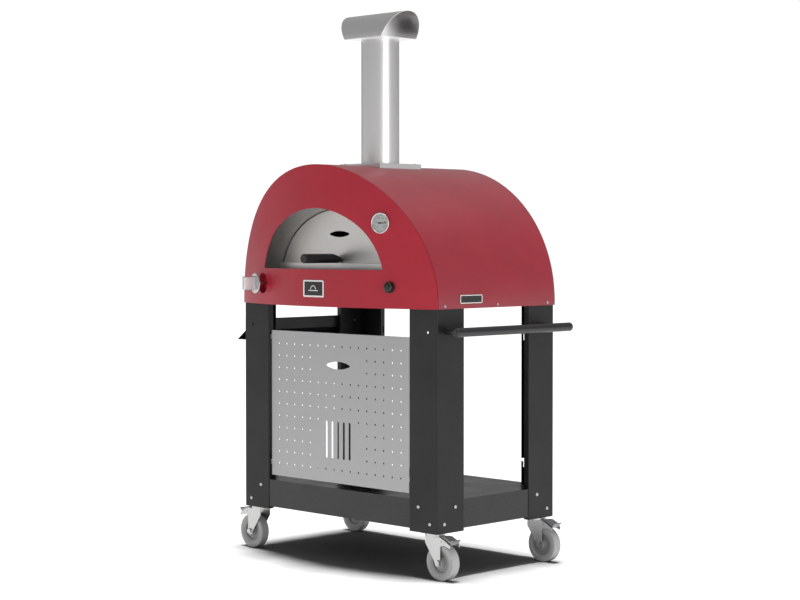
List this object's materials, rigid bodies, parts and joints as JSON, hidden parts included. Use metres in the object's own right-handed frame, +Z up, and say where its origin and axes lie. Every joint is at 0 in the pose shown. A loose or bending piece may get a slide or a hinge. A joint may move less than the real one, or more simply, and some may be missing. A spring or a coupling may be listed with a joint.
{
  "type": "outdoor pizza oven on a wheeled stand",
  "caption": "Free-standing outdoor pizza oven with an arched shell, bowed front, lift-out door, gas knob, flue with cowl, peg panel, shelf and braked casters.",
  "frame": {"origin": "on the floor, under the centre of the stand's four legs", "axes": "+X to the right of a person facing the mouth, -Y out of the mouth towards that person, +Z up"},
  "size_m": [1.031, 0.7073, 1.774],
  "materials": {
    "leg_black": "satin powder coat",
    "shelf_grey": "satin powder coat",
    "panel_steel": "brushed",
    "rail_black": "satin powder coat",
    "handle_black": "satin",
    "bolt_black": "satin",
    "zinc": "zinc plated",
    "galvanised": "galvanised",
    "red_paint": "satin metallic",
    "roof_red": "satin metallic",
    "rear_grey": "galvanised",
    "screw_steel": "satin",
    "throat_dark": "matte",
    "sill_steel": "brushed",
    "dome_steel": "satin",
    "refractory_tile": "matte",
    "fibre": "matte",
    "flue_steel": "brushed",
    "door_steel": "brushed",
    "grip_black": "matte",
    "bezel_chrome": "polished",
    "dial_face": "satin",
    "lens": "polished",
    "needle_black": "satin",
    "badge": "satin",
    "knob_chrome": "polished",
    "brass": "satin",
    "copper_pipe": "satin",
    "burner_steel": "satin",
    "igniter_black": "gloss",
    "lead_rubber": "matte",
    "ceramic": "matte",
    "fork_zinc": "zinc plated",
    "tyre_grey": "matte",
    "hub_grey": "matte",
    "pedal_black": "satin"
  },
  "bodies": {
    "oven": {"leg_front_left": "leg_black", "leg_front_right": "leg_black", "leg_rear_left": "leg_black", "leg_rear_right": "leg_black", "shelf_tray": "shelf_grey", "perforated_panel": "panel_steel", "tool_rail": "rail_black", "side_handle_tube": "handle_black", "side_handle_posts": "handle_black", "stand_bolts": "bolt_black", "caster_bolts": "zinc", "caster_plates": "zinc", "base_tray": "galvanised", "front_panel": "red_paint", "outer_shell": "roof_red", "rear_panel": "rear_grey", "shell_screws": "screw_steel", "mouth_liner": "throat_dark", "hearth_sill": "sill_steel", "inner_dome": "dome_steel", "hearth_tiles": "refractory_tile", "floor_insulation": "fibre", "dome_insulation": "fibre", "flue_box": "flue_steel", "flue_spigot": "flue_steel", "chimney_pipe": "flue_steel", "chimney_cap": "flue_steel", "thermometer_case": "bezel_chrome", "thermometer_dial": "dial_face", "thermometer_lens": "lens", "nameplate": "badge", "side_label": "badge", "gas_valve": "brass", "gas_pipe": "copper_pipe", "burner_tube": "burner_steel", "igniter_unit": "igniter_black", "ignition_lead": "lead_rubber", "spark_electrode": "ceramic"},
    "door": {"door_panel": "door_steel", "door_grip": "grip_black"},
    "knob": {"control_knob": "knob_chrome"},
    "button": {"igniter_button": "igniter_black"},
    "needle": {"thermometer_needle": "needle_black"},
    "front_left_swivel": {"caster_front_left_fork": "fork_zinc"},
    "front_left_wheel": {"caster_front_left_tyre": "tyre_grey", "caster_front_left_hub": "hub_grey"},
    "front_left_brake": {"caster_front_left_pedal": "pedal_black"},
    "front_right_swivel": {"caster_front_right_fork": "fork_zinc"},
    "front_right_wheel": {"caster_front_right_tyre": "tyre_grey", "caster_front_right_hub": "hub_grey"},
    "front_right_brake": {"caster_front_right_pedal": "pedal_black"},
    "rear_left_swivel": {"caster_rear_left_fork": "fork_zinc"},
    "rear_left_wheel": {"caster_rear_left_tyre": "tyre_grey", "caster_rear_left_hub": "hub_grey"},
    "rear_left_brake": {"caster_rear_left_pedal": "pedal_black"},
    "rear_right_swivel": {"caster_rear_right_fork": "fork_zinc"},
    "rear_right_wheel": {"caster_rear_right_tyre": "tyre_grey", "caster_rear_right_hub": "hub_grey"},
    "rear_right_brake": {"caster_rear_right_pedal": "pedal_black"}
  },
  "joints": [
    {"name": "door_pull", "type": "slide", "parent": "oven", "child": "door", "axis": [0, -1, 0], "range_m": [0, 0.35]},
    {"name": "knob_turn", "type": "hinge", "parent": "oven", "child": "knob", "pos_m": [-0.289, -0.33, 0.8965], "axis": [-0.2585, -0.966, 0], "range_deg": [0, 180]},
    {"name": "igniter_press", "type": "slide", "parent": "oven", "child": "button", "axis": [-0.2692, 0.9631, 0], "range_m": [0, 0.004], "stiffness_N_per_m": 600},
    {"name": "needle_turn", "type": "hinge", "parent": "oven", "child": "needle", "pos_m": [0.271, -0.33466, 1.0905], "axis": [0.2424, -0.9702, 0], "range_deg": [-45, 225]},
    {"name": "front_left_swivel_turn", "type": "hinge", "parent": "oven", "child": "front_left_swivel", "pos_m": [-0.4075, -0.237, 0.14], "axis": [0, 0, 1], "continuous": true},
    {"name": "front_left_wheel_spin", "type": "hinge", "parent": "front_left_swivel", "child": "front_left_wheel", "pos_m": [-0.441, -0.237, 0.056], "axis": [0, 1, 0], "continuous": true},
    {"name": "front_left_brake_press", "type": "hinge", "parent": "front_left_swivel", "child": "front_left_brake", "pos_m": [-0.455, -0.237, 0.123], "axis": [0, -1, 0], "range_deg": [0, 12]},
    {"name": "front_right_swivel_turn", "type": "hinge", "parent": "oven", "child": "front_right_swivel", "pos_m": [0.4075, -0.237, 0.14], "axis": [0, 0, 1], "continuous": true},
    {"name": "front_right_wheel_spin", "type": "hinge", "parent": "front_right_swivel", "child": "front_right_wheel", "pos_m": [0.441, -0.237, 0.056], "axis": [0, 1, 0], "continuous": true},
    {"name": "front_right_brake_press", "type": "hinge", "parent": "front_right_swivel", "child": "front_right_brake", "pos_m": [0.455, -0.237, 0.123], "axis": [0, 1, 0], "range_deg": [0, 12]},
    {"name": "rear_left_swivel_turn", "type": "hinge", "parent": "oven", "child": "rear_left_swivel", "pos_m": [-0.4075, 0.237, 0.14], "axis": [0, 0, 1], "continuous": true},
    {"name": "rear_left_wheel_spin", "type": "hinge", "parent": "rear_left_swivel", "child": "rear_left_wheel", "pos_m": [-0.441, 0.237, 0.056], "axis": [0, 1, 0], "continuous": true},
    {"name": "rear_left_brake_press", "type": "hinge", "parent": "rear_left_swivel", "child": "rear_left_brake", "pos_m": [-0.455, 0.237, 0.123], "axis": [0, -1, 0], "range_deg": [0, 12]},
    {"name": "rear_right_swivel_turn", "type": "hinge", "parent": "oven", "child": "rear_right_swivel", "pos_m": [0.4075, 0.237, 0.14], "axis": [0, 0, 1], "continuous": true},
    {"name": "rear_right_wheel_spin", "type": "hinge", "parent": "rear_right_swivel", "child": "rear_right_wheel", "pos_m": [0.441, 0.237, 0.056], "axis": [0, 1, 0], "continuous": true},
    {"name": "rear_right_brake_press", "type": "hinge", "parent": "rear_right_swivel", "child": "rear_right_brake", "pos_m": [0.455, 0.237, 0.123], "axis": [0, 1, 0], "range_deg": [0, 12]}
  ]
}
